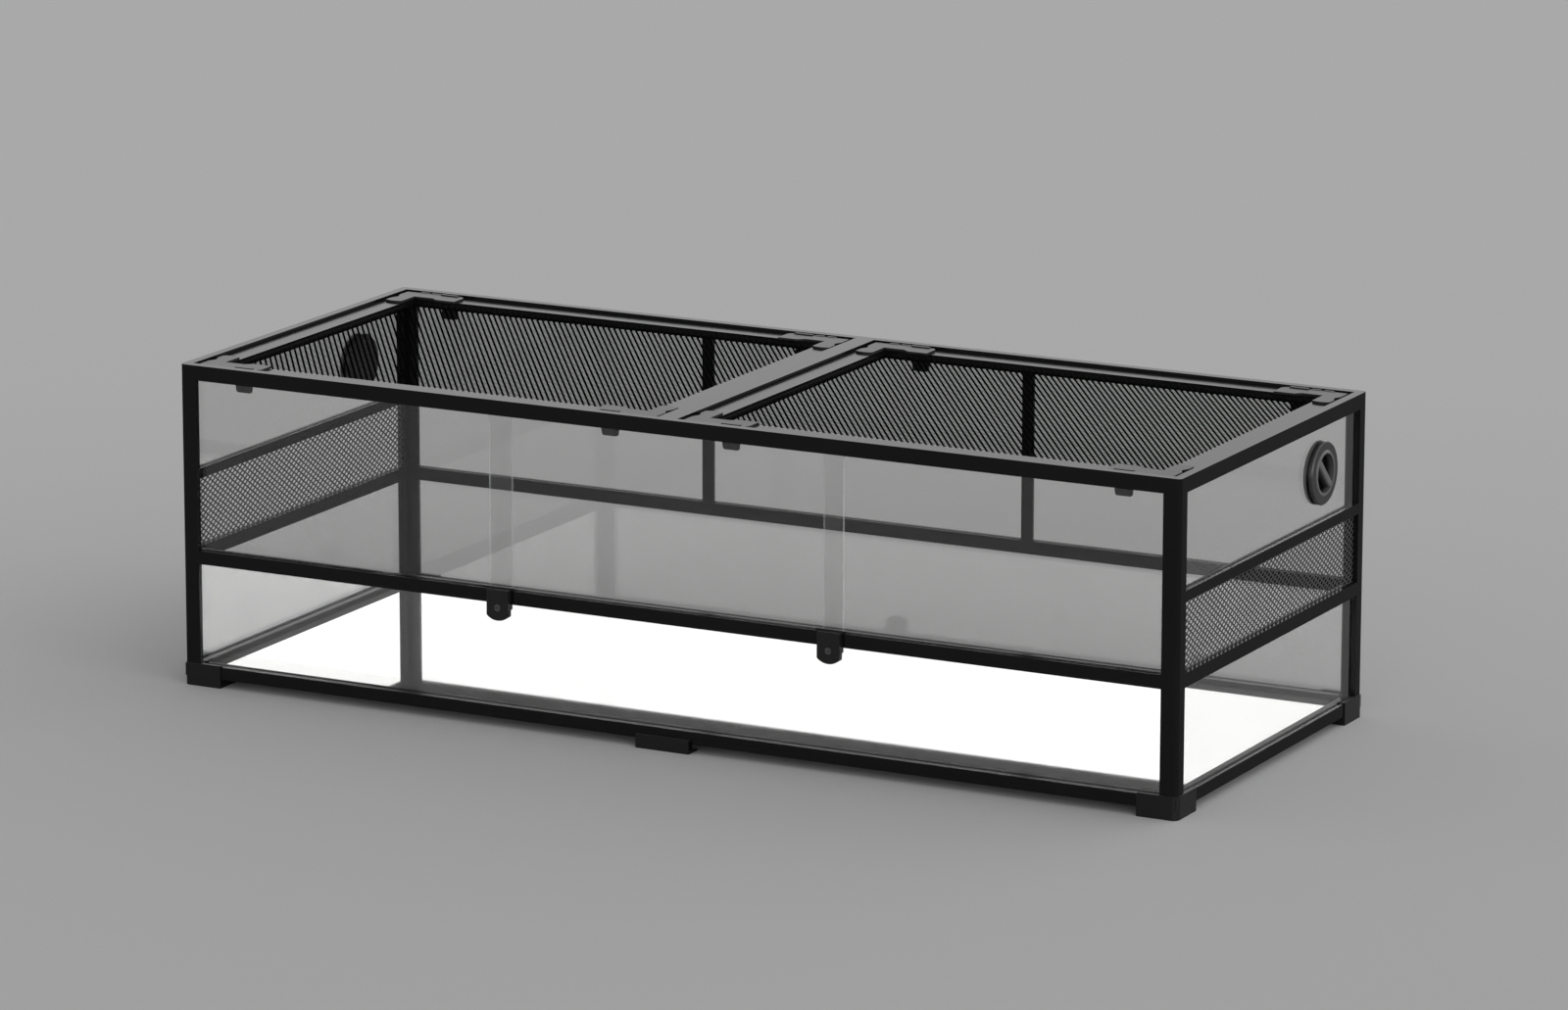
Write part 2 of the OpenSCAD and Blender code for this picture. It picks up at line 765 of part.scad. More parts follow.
// Outer doors run in the rear groove and end behind the posts, the middle door in front of them
module door_outer(s) {
    color("#d4e4e0", 0.35) on_side(s)
        slab([lap_x - lap_w / 2, x_leg - door_stop],
             [track_rear[0] + door_gap, track_rear[1] - door_gap], door_z);
}

module door_middle() {
    x = lap_x + lap_w / 2;
    color("#d4e4e0", 0.35)
        slab([-x, x], [track_front[0] + door_gap, track_front[1] - door_gap], door_z);
}

// Right lid's frame: four bars joined at the corners, a groove for the mesh and a bead above it
module lid_ring() {
    w = lid_x[1] - lid_x[0];
    difference() {
        slab([-w / 2, w / 2], [-lid_y, lid_y], [ledge_z, lid_top]);
        slab([lid_w - w / 2, w / 2 - lid_w], [lid_w - lid_y, lid_y - lid_w], [lid_top - bead_drop, lid_top + 1]);
        slab([lid_w + bead_w - w / 2, w / 2 - lid_w - bead_w], [lid_w + bead_w - lid_y, lid_y - lid_w - bead_w],
             [ledge_z - 1, lid_top]);
        slab([lid_w - mesh_bite - w / 2, w / 2 - lid_w + mesh_bite],
             [lid_w - mesh_bite - lid_y, lid_y - lid_w + mesh_bite], mesh_z, mesh_gap);
    }
}

// Window in a lid's bar that the latch and its two ears fit
module latch_window(x) {
    swing = tan(latch_swing);
    y0 = latch_y - latch_t / 2 - (pivot_z - ledge_z) * swing - latch_gap;
    y1 = latch_y + latch_t / 2 + (lid_top - pivot_z) * swing + latch_gap;
    w = latch_w / 2 + latch_gap + ear_w + fit;
    slab([x - w, x + w], [y0, y1], [ledge_z - 1, lid_top + 1]);
}

module lid_frame(s) {
    w = lid_x[1] - lid_x[0];
    color("#1c1c1e") on_side(s) translate([(lid_x[0] + lid_x[1]) / 2, 0, 0]) difference() {
        lid_ring();
        for (e = [-1, 1], d = [-1, 1]) on_end(e) latch_window(d * (w / 2 - latch_x));
    }
}

module lid_mesh(s) {
    w = lid_x[1] - lid_x[0];
    in = lid_w + bead_w;
    color("#151516") on_side(s) translate([(lid_x[0] + lid_x[1]) / 2, 0, 0]) difference() {
        slab([lid_w - mesh_bite - w / 2, w / 2 - lid_w + mesh_bite],
             [lid_w - mesh_bite - lid_y, lid_y - lid_w + mesh_bite], mesh_z);
        translate([0, 0, mesh_z[0] - 1]) linear_extrude(mesh_t + 2)
            diamonds(w - 2 * in, 2 * lid_y - 2 * in, lid_nx, lid_ny);
    }
}

// Plan of the corner piece at the lid's rear right, from the corner inwards
module corner_plan() {
    leg = corner_leg;
    arc = (leg * leg / 4 + corner_arc * corner_arc) / (2 * corner_arc);
    flare = leg + corner_flare;
    far = -corner_long;
    difference() {
        union() {
            translate([far, -leg]) square([corner_long, leg]);
            polygon([[far, -flare], [far + flare_l, -flare], [far + flare_l + flare_slope, -leg],
                     [far + flare_l + flare_slope, -leg / 2], [far, -leg / 2]]);
            intersection() {
                translate([-leg, -corner_short]) square([leg, corner_short]);
                translate([-leg / 2, arc - corner_short]) circle(arc, $fn = 128);
            }
            translate([-leg, arc - corner_short]) square([leg, corner_short - arc]);
        }
        // Bevelled end of the long leg, and the notch in the short leg's outer edge
        polygon([[far - 1, 1], [far + corner_bevel + 1, 1], [far - 1, -2 * corner_bevel]]);
        polygon([[eps, -notch_at], [eps, -notch_at - notch_l], [-notch_d, -notch_at - notch_l / 2]]);
    }
}

// Oval tab on the outer edge, its near end at x
module edge_tab(x) {
    for (e = [x - tab_w / 2, x - tab_l + tab_w / 2])
        translate([e, 0]) circle(d = tab_w);
    translate([x - tab_l + tab_w / 2, -tab_w / 2]) square([tab_l - tab_w, tab_w]);
}

module lid_corner(w) {
    x = w / 2 - corner_in;
    y = lid_y - corner_in;
    lx = w / 2 - latch_x;
    half = latch_w / 2 + latch_gap;
    z = [lid_top, lid_top + corner_t];
    difference() {
        union() {
            difference() {
                union() {
                    translate([x, y, z[0]]) linear_extrude(corner_t) corner_plan();
                    translate([x, lid_y - tab_w / 2, z[0]]) linear_extrude(corner_t + tab_up) {
                        edge_tab(-tab_at);
                        edge_tab(-tab_at - tab_l - tab_gap);
                    }
                }
                slab([lx - half, lx + half], [latch_y - latch_t / 2 - latch_slot, y + 1],
                     [z[0] - 1, z[1] + 1]);
            }
            for (e = [-1, 1])
                slab([lx + e * (half + ear_w / 2) - ear_w / 2, lx + e * (half + ear_w / 2) + ear_w / 2],
                     [latch_y - latch_t / 2, latch_y + latch_t / 2], [pivot_z - pin_d, z[1]]);
        }
        translate([lx - latch_w, latch_y, pivot_z]) rotate([0, 90, 0])
            cylinder(d = pin_d + 2 * pin_gap, h = 2 * latch_w);
    }
}

module lid_corners(s) {
    w = lid_x[1] - lid_x[0];
    color("#202022") on_side(s) translate([(lid_x[0] + lid_x[1]) / 2, 0, 0])
        for (e = [-1, 1], d = [-1, 1]) on_end(e) on_side(d) lid_corner(w);
}

// Latch at the rear: a tongue with a rounded tip, a hook in its outer face and two pivot pins
module latch_blank() {
    tip = ledge_z - latch_drop;
    head = lid_top + corner_t + latch_head;
    hook = top_z - hook_down;
    pin = latch_w / 2 + latch_gap + ear_w;
    r = latch_r;
    t = latch_t / 2;
    intersection() {
        rotate([90, 0, 0]) linear_extrude(3 * latch_t, center = true) union() {
            polygon([[-latch_w / 2, head], [latch_w / 2, head], [latch_w / 2, ledge_z],
                     [latch_tip / 2, tip + r], [-latch_tip / 2, tip + r], [-latch_w / 2, ledge_z]]);
            translate([r - latch_tip / 2, tip]) square([latch_tip - 2 * r, r + eps]);
            for (e = [-1, 1]) translate([e * (latch_tip / 2 - r), tip + r]) circle(r);
        }
        rotate([90, 0, 90]) linear_extrude(2 * latch_w, center = true)
            polygon([[-t, head], [t, head], [t, hook], [t - hook_d, hook - hook_down / 2],
                     [t - hook_d, hook - 0.6 * hook_h], [t, hook - hook_h], [t - hook_d, tip],
                     [-t, tip]]);
    }
    translate([-pin, 0, pivot_z]) rotate([0, 90, 0]) cylinder(d = pin_d, h = 2 * pin);
}

// Latch of side s, end e, at the outer (d = 1) or inner (d = -1) corner of its lid
module latch(s, e, d) {
    w = lid_x[1] - lid_x[0];
    x = (lid_x[0] + lid_x[1]) / 2 + d * (w / 2 - latch_x);
    color("#161617") on_side(s) on_end(e) translate([x, latch_y, 0]) latch_blank();
}

bottom_rail_x(-1);  // bottom_rail_front
bottom_rail_x(1);  // bottom_rail_rear
bottom_rail_y(-1);  // bottom_rail_left
bottom_rail_y(1);  // bottom_rail_right
corner_feet();
middle_feet();
post(-1, -1);  // post_front_left
post(1, -1);  // post_front_right
post(-1, 1);  // post_rear_left
post(1, 1);  // post_rear_right
sill_rail();
mid_rail_rear();
mid_rail_side(-1);  // mid_rail_left
mid_rail_side(1);  // mid_rail_right
vent_rail(-1);  // vent_rail_left
vent_rail(1);  // vent_rail_right
top_rail_x(-1);  // top_rail_front
top_rail_x(1);  // top_rail_rear
top_rail_y(-1);  // top_rail_left
top_rail_y(1);  // top_rail_right
top_centre_bar();
rear_mullion(-1);  // rear_mullion_left
rear_mullion(1);  // rear_mullion_right
floor_panel();
color("#cfe0dc", 0.35) front_base_pane();  // base_glass_front
color("#cfe0dc", 0.35) rear_base_pane();  // base_glass_rear
base_glass_side(-1);  // base_glass_left
base_glass_side(1);  // base_glass_right
side_glass(-1);  // side_glass_left
side_glass(1);  // side_glass_right
rear_glass();
vent_mesh(-1);  // vent_mesh_left
vent_mesh(1);  // vent_mesh_right
port_collar(-1);  // port_collar_left
port_collar(1);  // port_collar_right
port_nuts();
port_cap(-1);  // port_cap_left
port_cap(1);  // port_cap_right
lock_body(-1);  // lock_body_left
lock_body(1);  // lock_body_right
lock_plug(-1);  // lock_plug_left
lock_plug(1);  // lock_plug_right
door_outer(-1);  // door_left
door_middle();
door_outer(1);  // door_right
lid_frame(-1);  // lid_frame_left
lid_frame(1);  // lid_frame_right
lid_mesh(-1);  // lid_mesh_left
lid_mesh(1);  // lid_mesh_right
lid_corners(-1);  // lid_corners_left
lid_corners(1);  // lid_corners_right
latch(-1, -1, 1);  // latch_left_front_outer
latch(-1, -1, -1);  // latch_left_front_inner
latch(-1, 1, 1);  // latch_left_rear_outer
latch(-1, 1, -1);  // latch_left_rear_inner
latch(1, -1, 1);  // latch_right_front_outer
latch(1, -1, -1);  // latch_right_front_inner
latch(1, 1, 1);  // latch_right_rear_outer
latch(1, 1, -1);  // latch_right_rear_inner
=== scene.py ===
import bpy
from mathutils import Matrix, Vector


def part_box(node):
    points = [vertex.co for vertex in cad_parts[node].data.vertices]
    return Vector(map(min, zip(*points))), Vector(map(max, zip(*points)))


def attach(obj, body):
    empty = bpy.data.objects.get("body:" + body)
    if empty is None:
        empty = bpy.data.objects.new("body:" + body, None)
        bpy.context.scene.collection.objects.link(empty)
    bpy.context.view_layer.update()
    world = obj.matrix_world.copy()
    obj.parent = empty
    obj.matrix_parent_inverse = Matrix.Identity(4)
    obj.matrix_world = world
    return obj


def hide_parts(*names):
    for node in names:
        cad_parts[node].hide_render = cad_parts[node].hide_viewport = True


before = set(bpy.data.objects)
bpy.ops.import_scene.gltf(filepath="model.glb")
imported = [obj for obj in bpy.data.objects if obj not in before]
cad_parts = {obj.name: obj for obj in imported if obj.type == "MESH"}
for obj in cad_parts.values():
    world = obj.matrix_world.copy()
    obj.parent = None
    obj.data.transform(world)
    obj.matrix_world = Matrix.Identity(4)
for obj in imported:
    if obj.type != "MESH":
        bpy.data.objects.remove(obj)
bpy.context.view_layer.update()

import math

import bpy
import numpy as np
from mathutils import Matrix

# The table and the room. The tank stands on a seamless pale grey sheet in a white room whose walls
# are bright low down, where the black tops and the glass mirror them, and softer overhead. Painted
# shade darkens the sheet a little towards the viewer, for the falloff of the studio light.

GROUND_HALF = 40.0
GROUND_DROP = 0.0003
GROUND_NEAR = 0.264
GROUND_FAR = 0.303
LIGHT_ALONG = (-0.46, 0.89, 0.0)
FADE_NEAR = -2.5
FADE_FAR = 2.0
ROOM_LIGHT = ((0.0, 2.05), (0.3, 2.05), (0.5, 1.0), (1.0, 0.75))
SIDE_LIGHT = ((0.0, 0.95), (0.4, 0.95), (0.75, 2.4))
REAR_LIGHT = ((0.0, 1.05), (0.5, 0.95), (0.9, 1.0))
ROOM_COLOUR = (0.8, 0.8, 0.8, 1)

bpy.context.scene.view_settings.view_transform = "Standard"


class Field:
    """A value or shader that varies over a surface or a room: one output of a node tree."""

    def __init__(self, tree, socket):
        self.tree, self.socket = tree, socket

    def _math(self, operation, other, swap=False):
        """operation(self, other), or operation(other, self) when swap is set."""
        node = self.tree.nodes.new("ShaderNodeMath")
        node.operation = operation
        for index, value in enumerate((other, self) if swap else (self, other)):
            if isinstance(value, Field):
                self.tree.links.new(value.socket, node.inputs[index])
            else:
                node.inputs[index].default_value = value
        return Field(self.tree, node.outputs[0])

    def __add__(self, other):
        return self._math("ADD", other)

    def __radd__(self, other):
        return self._math("ADD", other, True)

    def __sub__(self, other):
        return self._math("SUBTRACT", other)

    def __rsub__(self, other):
        return self._math("SUBTRACT", other, True)

    def __mul__(self, other):
        return self._math("MULTIPLY", other)

    def __rmul__(self, other):
        return self._math("MULTIPLY", other, True)

    def __pow__(self, other):
        return self._math("POWER", other)

    def __gt__(self, other):
        return self._math("GREATER_THAN", other)

    def abs(self):
        return self._math("ABSOLUTE", 0.0)


class Graph:
    """A node tree under construction."""

    def __init__(self, tree):
        self.tree = tree

    def set(self, node, **sockets):
        """Each socket gets a value or a link: Base_Color names Base Color, and i2 is input 2."""
        for key, value in sockets.items():
            entry = node.inputs[int(key[1:]) if key[1:].isdigit() else key.replace("_", " ")]
            if isinstance(value, Field):
                self.tree.links.new(value.socket, entry)
            else:
                entry.default_value = value

    def node(self, kind, settings=None, output=0, **sockets):
        """Adds a node of a kind, sets it up, and returns one of its outputs as a Field."""
        node = self.tree.nodes.new("ShaderNode" + kind)
        for key, value in (settings or {}).items():
            setattr(node, key, value)
        self.set(node, **sockets)
        return Field(self.tree, node.outputs[output])


class Finish(Graph):
    """A material under construction: its node tree, its Principled shader and its output."""

    def __init__(self, name, **sockets):
        self.material = bpy.data.materials.new(name)
        self.material.use_nodes = True
        super().__init__(self.material.node_tree)
        self.face = self.tree.nodes["Principled BSDF"]
        self.out = self.tree.nodes["Material Output"]
        self.set(self.face, **sockets)

    def place(self):
        """The point on the surface, in metres in the tank's frame."""
        return self.node("TexCoord", output="Object")

    def noise(self, per_metre, detail=2.0):
        """Cloudy noise about 0.5, with so many lumps to a metre."""
        return self.node("TexNoise", Vector=self.place(), Scale=per_metre, Detail=detail)

    def mix(self, share, one, other):
        """The colour one where share is 0 and other where it is 1."""
        return self.node("Mix", {"data_type": "RGBA"}, 2, i0=share, i6=(*one, 1), i7=(*other, 1))

    def bump(self, height, metres):
        """A normal from a height field that is so many metres deep."""
        return self.node("Bump", Height=height, Distance=metres, Strength=1.0)


ground_mesh = bpy.data.meshes.new("ground")
ground_mesh.from_pydata(
    [(x * GROUND_HALF, y * GROUND_HALF, -GROUND_DROP) for x, y in ((-1, -1), (1, -1), (1, 1), (-1, 1))],
    [], [(0, 1, 2, 3)])
ground = bpy.data.objects.new("ground", ground_mesh)
bpy.context.collection.objects.link(ground)

paper = Finish("ground_paper", Roughness=1.0, Specular_IOR_Level=0.0)
# Painted shade: the sheet's colour darkens towards the viewer, for the falloff of the studio light
along = paper.node("VectorMath", {"operation": "DOT_PRODUCT"}, 1, i0=paper.place(), i1=LIGHT_ALONG)
shade = paper.node("MapRange", Value=along, From_Min=FADE_NEAR, From_Max=FADE_FAR)
paper.set(paper.face, Base_Color=paper.mix(shade, (GROUND_NEAR,) * 3, (GROUND_FAR,) * 3))
ground_mesh.materials.append(paper.material)

room = bpy.data.worlds.new("room")
bpy.context.scene.world = room
room.use_nodes = True
light = Graph(room.node_tree)


def broken_line(position, stops):
    """Light along a broken line through (position, light) pairs."""
    ramp = light.node("ValToRGB", Fac=position)
    elements = ramp.socket.node.color_ramp.elements
    while len(elements) < len(stops):
        elements.new(0.5)
    for element, (stop, value) in zip(elements, stops):
        element.position = stop
        element.color = (value, value, value, 1)
    return ramp


def component(axis):
    """The component along an axis of the direction looked in, -1 to 1."""
    return light.node("SeparateXYZ", None, axis, Vector=light.node("TexCoord", output="Generated"))


# Light by height, and by how far a direction turns to the right and to the rear
rightward_share = 0.5 * component("X") + 0.5
rearward_share = 0.5 * component("Y") + 0.5
strength = broken_line(component("Z"), ROOM_LIGHT) * (
    broken_line(rightward_share, SIDE_LIGHT) * broken_line(rearward_share, REAR_LIGHT))
light.set(room.node_tree.nodes["Background"], Color=ROOM_COLOUR, Strength=strength)

# The camera. It stands in front of the tank and to its right, and looks slightly down on it with a
# long lens. Its place in metres, its turns in radians and its focal length, as a share of the image's
# width, follow from the tank's corners in the photograph.

CAMERA_AT = (4.55082, -8.64845, 2.56655)
CAMERA_YAW = -0.48222
CAMERA_PITCH = -0.2301
CAMERA_ROLL = 0.0013
FOCAL_SHARE = 7434.73 / 1600
SENSOR_WIDTH = 36.0
FARTHEST = 200.0

ahead = np.array([math.sin(CAMERA_YAW) * math.cos(CAMERA_PITCH),
                  math.cos(CAMERA_YAW) * math.cos(CAMERA_PITCH), math.sin(CAMERA_PITCH)])
level = np.array([math.cos(CAMERA_YAW), -math.sin(CAMERA_YAW), 0.0])
above = np.cross(level, ahead)
right = math.cos(CAMERA_ROLL) * level + math.sin(CAMERA_ROLL) * above
upward = math.cos(CAMERA_ROLL) * above - math.sin(CAMERA_ROLL) * level
camera_data = bpy.data.cameras.new("camera")
camera = bpy.data.objects.new("camera", camera_data)
bpy.context.collection.objects.link(camera)
turn = np.eye(4)
turn[:3, 0], turn[:3, 1], turn[:3, 2], turn[:3, 3] = right, upward, -ahead, CAMERA_AT
camera.matrix_world = Matrix(turn.tolist())
camera_data.sensor_width = SENSOR_WIDTH
camera_data.lens = SENSOR_WIDTH * FOCAL_SHARE
camera_data.clip_end = FARTHEST
bpy.context.scene.camera = camera

# Frame bars. Aluminium extrusions with a satin black coat of fine orange peel, in patches a little
# lighter and duller. The bottom and top rails are mitred, the posts stand between them, and the other
# bars end at the posts or rails that they meet.

CLOUDS_PER_METRE = 9.0
PEEL_PER_METRE = 850.0
PEEL_DEPTH = 0.00002
TONE_DARK = (0.8, 0.8, 0.82)
TONE_LIGHT = (1.2, 1.2, 1.22)


def dress(material, *nodes):
    """Gives CAD nodes a material in each of their slots."""
    for name in nodes:
        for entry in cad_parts[name].material_slots:
            entry.material = material


def black_coat(name, shade, dull, gloss_spread=0.06, sheen=0.015, glance=1.0):
    """Black coat of a mean shade, with roughness = dull + gloss_spread (cloud - 0.5) and an orange
    peel of lumps 1.2 mm across. It mirrors a share sheen + glance g^8 of the light, where g is
    the grazing, 0 seen straight on and 1 along the surface, and is matt where both are 0."""
    coat = Finish(name, Specular_IOR_Level=0.0)
    cloud = coat.noise(CLOUDS_PER_METRE, 3.0)
    tone = [shade * f for f in TONE_DARK], [shade * f for f in TONE_LIGHT]
    rough = dull - gloss_spread / 2 + gloss_spread * cloud
    peel = coat.bump(coat.noise(PEEL_PER_METRE, 1.0), PEEL_DEPTH)
    coat.set(coat.face, Base_Color=coat.mix(cloud, *tone), Roughness=rough, Normal=peel)
    if sheen or glance:
        gloss = coat.node("BsdfGlossy", Color=(1, 1, 1, 1), Roughness=rough, Normal=peel)
        grazing = coat.node("LayerWeight", output="Facing", Blend=0.5)
        body = Field(coat.tree, coat.face.outputs[0])
        share = sheen + glance * grazing ** 8
        coat.set(coat.out, Surface=coat.node("MixShader", i0=share, i1=body, i2=gloss))
    return coat.material


bar_black = black_coat("bar_black", shade=0.003, dull=0.17, sheen=0.013)
dress(bar_black, *[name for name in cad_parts
                   if name.startswith(("bottom_rail", "post_", "sill_", "mid_rail", "vent_rail", "top_",
                                       "rear_mullion"))])

# Feet. Injection-moulded black plastic caps that wrap the corners of the bottom rails, and brackets
# under the middles of the long ones, with the fine even grain of a spark-eroded mould.

foot_black = black_coat("foot_black", shade=0.0035, dull=0.42, gloss_spread=0.04)
dress(foot_black, "corner_feet", "middle_feet")

# Floor panel. A white sheet, lacquered to a mirror gloss, let into grooves of the bottom rails on
# all four sides. It mirrors the frame and the room.

WHITE_DARK = (0.93, 0.93, 0.92)
WHITE_LIGHT = (0.96, 0.96, 0.955)

lacquer = Finish("floor_lacquer", Metallic=0.9, Specular_IOR_Level=0.5, Coat_Weight=0.3, Coat_Roughness=0.05)
lacquer.set(lacquer.face, Base_Color=lacquer.mix(lacquer.noise(4.0), WHITE_DARK, WHITE_LIGHT),
            Roughness=0.02 + 0.02 * lacquer.noise(25.0))
dress(lacquer.material, "floor_panel")

# Fixed glass and sliding doors. Clear float glass: each face lets most light through and mirrors the
# rest. The fixed panes are glued into black grooves, which show through their edges, and the doors'
# polished edges carry a painted glint, a light grey-green for the light that they catch.

PANE_CLEAR = (0.945, 0.946, 0.944, 1)
GROOVE_BLACK = (0.012, 0.013, 0.013)
# Painted glint: the doors' edges are a light grey-green for the light their polished edges catch
DOOR_EDGE_PAINTED_GLINT = (0.5, 0.53, 0.515)
MIRROR_FACING = 0.04
EDGE_SHARE = 0.35


def glass(name, edge_axis, edge_colour_or_glint):
    """Glass of thin panes: a clear face mixed with a mirror by Schlick's rule, m + (1 - m) g^5 for
    the grazing g, and edges of a given colour, a painted glint on the doors, where the normal turns away
    from the pane's axis."""
    pane = Finish(name)
    clear = pane.node("BsdfTransparent", Color=PANE_CLEAR)
    mirror = pane.node("BsdfGlossy", Color=(1, 1, 1, 1), Roughness=0.01)
    grazing = pane.node("LayerWeight", output="Facing", Blend=0.5)
    share = MIRROR_FACING + (1 - MIRROR_FACING) * grazing ** 5
    face = pane.node("MixShader", i0=share, i1=clear, i2=mirror)
    pane.set(pane.face, Base_Color=(*edge_colour_or_glint, 1), Roughness=0.25)
    across = pane.node("SeparateXYZ", None, edge_axis, Vector=pane.node("TexCoord", output="Normal"))
    edge = pane.node("MixShader", i0=EDGE_SHARE, i1=clear, i2=Field(pane.tree, pane.face.outputs[0]))
    whole = pane.node("MixShader", i0=across.abs() > 0.5, i1=edge, i2=face)
    pane.set(pane.out, Surface=whole)
    return pane.material


dress(glass("glass_fixed_y", "Y", GROOVE_BLACK), "base_glass_front", "base_glass_rear", "rear_glass")
dress(glass("glass_fixed_x", "X", GROOVE_BLACK),
      "base_glass_left", "base_glass_right", "side_glass_left", "side_glass_right")
dress(glass("glass_doors", "Y", DOOR_EDGE_PAINTED_GLINT), "door_left", "door_middle", "door_right")

# Mesh. Expanded metal, slit and drawn into diamonds 13.1 mm by 9 mm, in the two side vents and both
# lids, with a matt black coat, which is painted a lighter grey in the vents for the side light that
# their strands catch. Each strand leans, as the drawing leaves it.

DIAMOND_LONG = 0.01312
DIAMOND_SHORT = 0.00898
SHEET = 0.0003
VENT_STRAND = 0.0025
VENT_LEAN = 0.0003
LID_STRAND = 0.003
LID_LEAN = -0.0004
MARGIN = 0.0002
NO_AREA = 1e-9


def expanded_metal(name, node, long_axis, short_axis, flat_axis, body, coat, strand, lean):
    """Expanded metal that fills a CAD sheet. Hole (i, j) has its centre at i * L / 2 and j * S / 2,
    for i + j odd, and half diagonals L / 2 - t |(L, S)| / 2 S and S / 2 - t |(L, S)| / 2 L for a
    strand t wide. Its lower corner lies lean / 2 below the sheet's middle along the flat axis, and
    its upper corner as far above. Three four-sided faces on each side join the holes round every
    crossing, and four line each hole."""
    low, high = (np.array(corner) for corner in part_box(node))
    centre = (low + high) / 2
    half = (high - low) / 2 - MARGIN
    count = [int(math.ceil(half[a] / (step / 2))) + 2
             for a, step in ((long_axis, DIAMOND_LONG), (short_axis, DIAMOND_SHORT))]
    slant = math.hypot(DIAMOND_LONG, DIAMOND_SHORT)
    reach_long = DIAMOND_LONG / 2 - strand / 2 * slant / DIAMOND_SHORT
    reach_short = DIAMOND_SHORT / 2 - strand / 2 * slant / DIAMOND_LONG
    i, j = np.meshgrid(np.arange(-count[0], count[0] + 1), np.arange(-count[1], count[1] + 1), indexing="ij")
    corners = np.array([(-1, 0, 0), (0, -1, -lean), (1, 0, 0), (0, 1, lean)])
    u = i[..., None] * DIAMOND_LONG / 2 + corners[:, 0] * reach_long
    v = j[..., None] * DIAMOND_SHORT / 2 + corners[:, 1] * reach_short
    w = np.broadcast_to(corners[:, 2], u.shape) / 2
    points = np.zeros((2, *u.shape, 3))
    points[..., long_axis] = np.clip(u, -half[long_axis], half[long_axis]) + centre[long_axis]
    points[..., short_axis] = np.clip(v, -half[short_axis], half[short_axis]) + centre[short_axis]
    for side in (0, 1):
        points[side, ..., flat_axis] = w + (side - 0.5) * SHEET + centre[flat_axis]
    index = np.arange(2 * u.size).reshape(2, *u.shape)
    left, lower, rightward, upper = 0, 1, 2, 3
    inner = (slice(1, -1), slice(1, -1))
    crossing = ((i + j) % 2 == 0)[inner]
    faces = []
    for side in (0, 1):
        n = index[side]
        west, east, south, north = n[:-2, 1:-1], n[2:, 1:-1], n[1:-1, :-2], n[1:-1, 2:]
        rings = (
            (west[..., rightward], north[..., lower], east[..., left], south[..., upper]),
            (east[..., left], east[..., upper], north[..., rightward], north[..., lower]),
            (north[..., lower], north[..., left], west[..., upper], west[..., rightward]),
        )
        for ring in rings:
            quad = np.stack([corner[crossing] for corner in ring], -1)
            faces.append(quad if side else quad[:, ::-1])
    hole = ((i + j) % 2 == 1)[inner]
    for a, b in ((0, 1), (1, 2), (2, 3), (3, 0)):
        bottom, top = index[0][inner][hole], index[1][inner][hole]
        faces.append(np.stack([bottom[:, a], bottom[:, b], top[:, b], top[:, a]], -1))
    faces = np.concatenate(faces)
    points = points.reshape(-1, 3)
    # Faces that the sheet's edge has cut to nothing are dropped
    cross = np.cross(points[faces[:, 2]] - points[faces[:, 0]], points[faces[:, 3]] - points[faces[:, 1]])
    faces = faces[np.linalg.norm(cross, axis=1) > NO_AREA]
    used, faces = np.unique(faces, return_inverse=True)
    faces = faces.reshape(-1, 4)
    # An odd order of the axes would turn the faces inside out
    order = (long_axis, short_axis, flat_axis)
    if order not in ((0, 1, 2), (1, 2, 0), (2, 0, 1)):
        faces = faces[:, ::-1]
    mesh = bpy.data.meshes.new(name)
    mesh.from_pydata(points[used].tolist(), [], faces.tolist())
    piece = bpy.data.objects.new(name, mesh)
    bpy.context.collection.objects.link(piece)
    mesh.materials.append(coat)
    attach(piece, body)
    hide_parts(node)
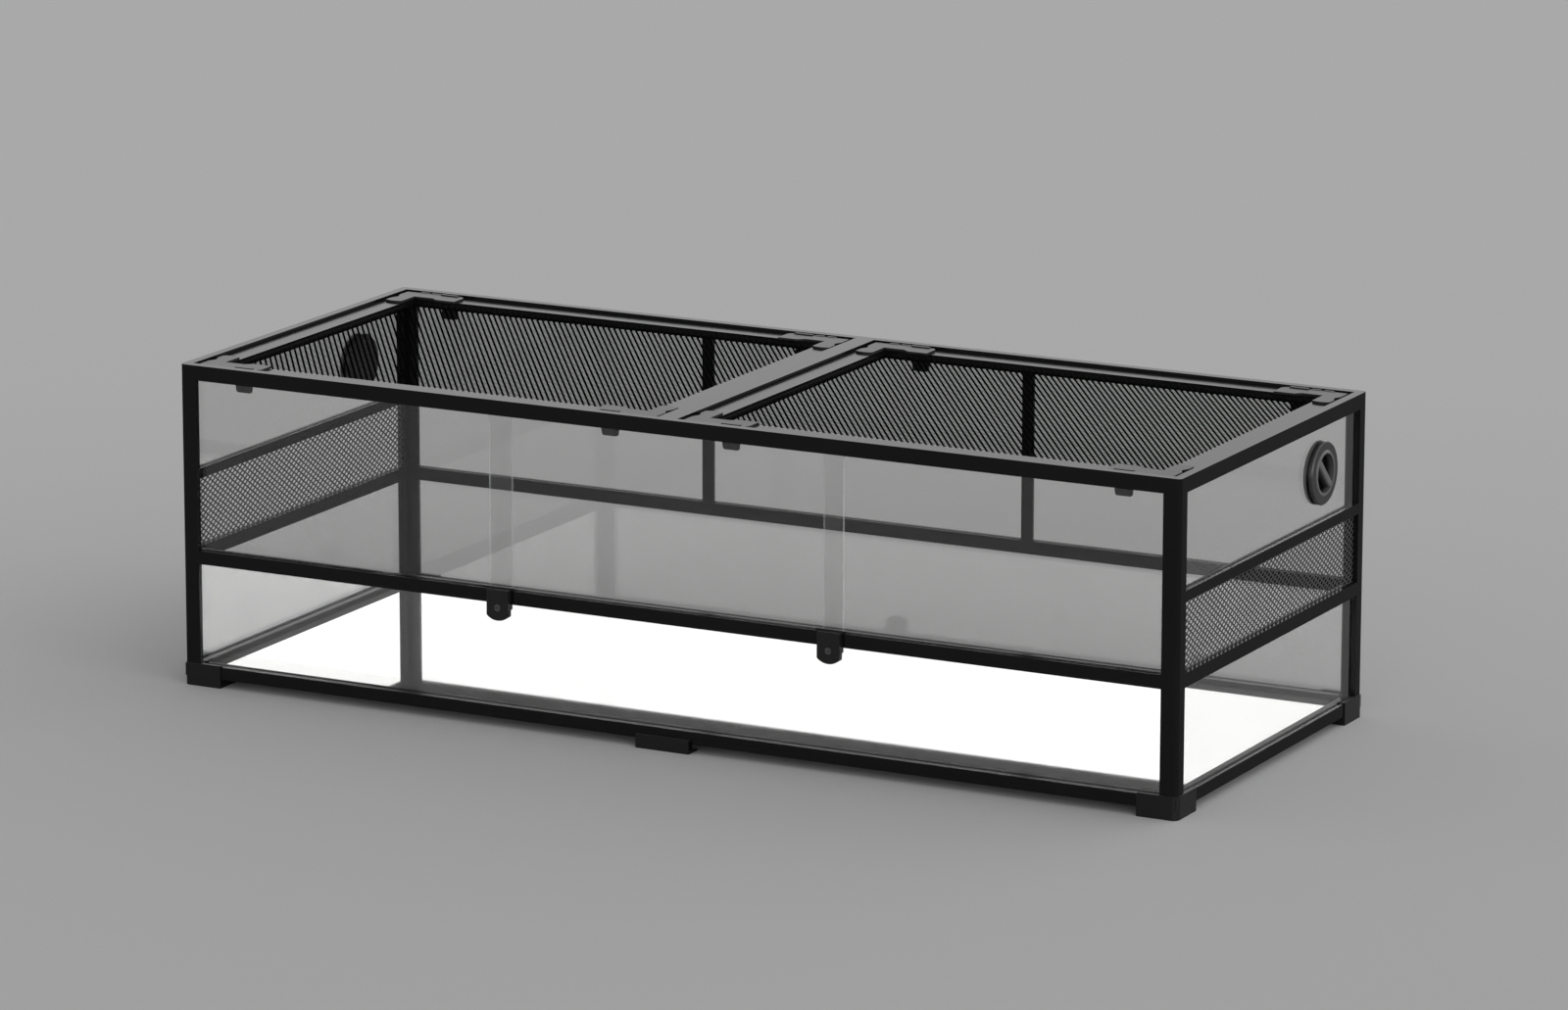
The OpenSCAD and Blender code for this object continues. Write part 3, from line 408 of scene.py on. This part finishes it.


# Painted light: the vents' coat is a lighter grey than the lids', for the side light their strands catch
vent_painted_lit_coat = black_coat("vent_painted_lit_coat", shade=0.038, dull=0.6, sheen=0.0, glance=0.0)
lid_black = black_coat("lid_black", shade=0.0012, dull=0.75, sheen=0.0, glance=0.0)
for side in ("left", "right"):
    expanded_metal(f"vent_strands_{side}", f"vent_mesh_{side}", 1, 2, 0, "tank",
                   vent_painted_lit_coat, VENT_STRAND, VENT_LEAN)
    expanded_metal(f"lid_strands_{side}", f"lid_mesh_{side}", 1, 0, 2, f"lid_{side}",
                   lid_black, LID_STRAND, LID_LEAN)

# Cable ports. A collar outside each drilled side pane and a nut inside it, moulded in black plastic a
# little glossier than the feet, and a duller, greyer twist cap, with painted shade that turns it black in
# its finger recess.

RECESS_FULL_SHADE = 0.0118
RECESS_RIM = 0.0028
RECESS_PAINTED_SHADE = (0.002, 0.002, 0.002)
CAP_BLACK = (0.05, 0.05, 0.051)

port_black = black_coat("port_black", shade=0.015, dull=0.3, sheen=0.036)
dress(port_black, "port_collar_left", "port_collar_right", "port_nuts")
cap = Finish("cap_black", Roughness=0.45, Specular_IOR_Level=0.3)
# Painted shade: the cap's colour darkens to near black with depth into its finger recess
cap_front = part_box("port_cap_right")[1][0]
outward = cap.node("SeparateXYZ", None, "X", Vector=cap.place()).abs()
clear_of_shade = cap.node("MapRange", {"interpolation_type": "SMOOTHSTEP"}, Value=outward,
                  From_Min=cap_front - RECESS_FULL_SHADE, From_Max=cap_front - RECESS_RIM)
cap.set(cap.face, Base_Color=cap.mix(clear_of_shade, RECESS_PAINTED_SHADE, CAP_BLACK),
        Normal=cap.bump(cap.noise(PEEL_PER_METRE, 1.0), PEEL_DEPTH))
dress(cap.material, "port_cap_left", "port_cap_right")

# Locks. A black plastic body grips the sill at each lap of the doors, and holds a small key plug
# of darkened nickel, which turns a cam behind it.

NICKEL_DARK = (0.07, 0.07, 0.072)
NICKEL_LIGHT = (0.13, 0.13, 0.135)

lock_black = black_coat("lock_black", shade=0.006, dull=0.36)
dress(lock_black, "lock_body_left", "lock_body_right")
nickel = Finish("lock_nickel", Metallic=1.0, Roughness=0.35)
nickel.set(nickel.face, Base_Color=nickel.mix(nickel.noise(300.0), NICKEL_DARK, NICKEL_LIGHT))
dress(nickel.material, "lock_plug_left", "lock_plug_right")

# Lids. Mitred bars coated as the frame is, with moulded plastic corner pieces over their joints
# and sprung latches on pins in those pieces.

dress(bar_black, "lid_frame_left", "lid_frame_right")
corner_black = black_coat("corner_black", shade=0.008, dull=0.36)
dress(corner_black, "lid_corners_left", "lid_corners_right",
      *[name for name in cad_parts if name.startswith("latch_")])
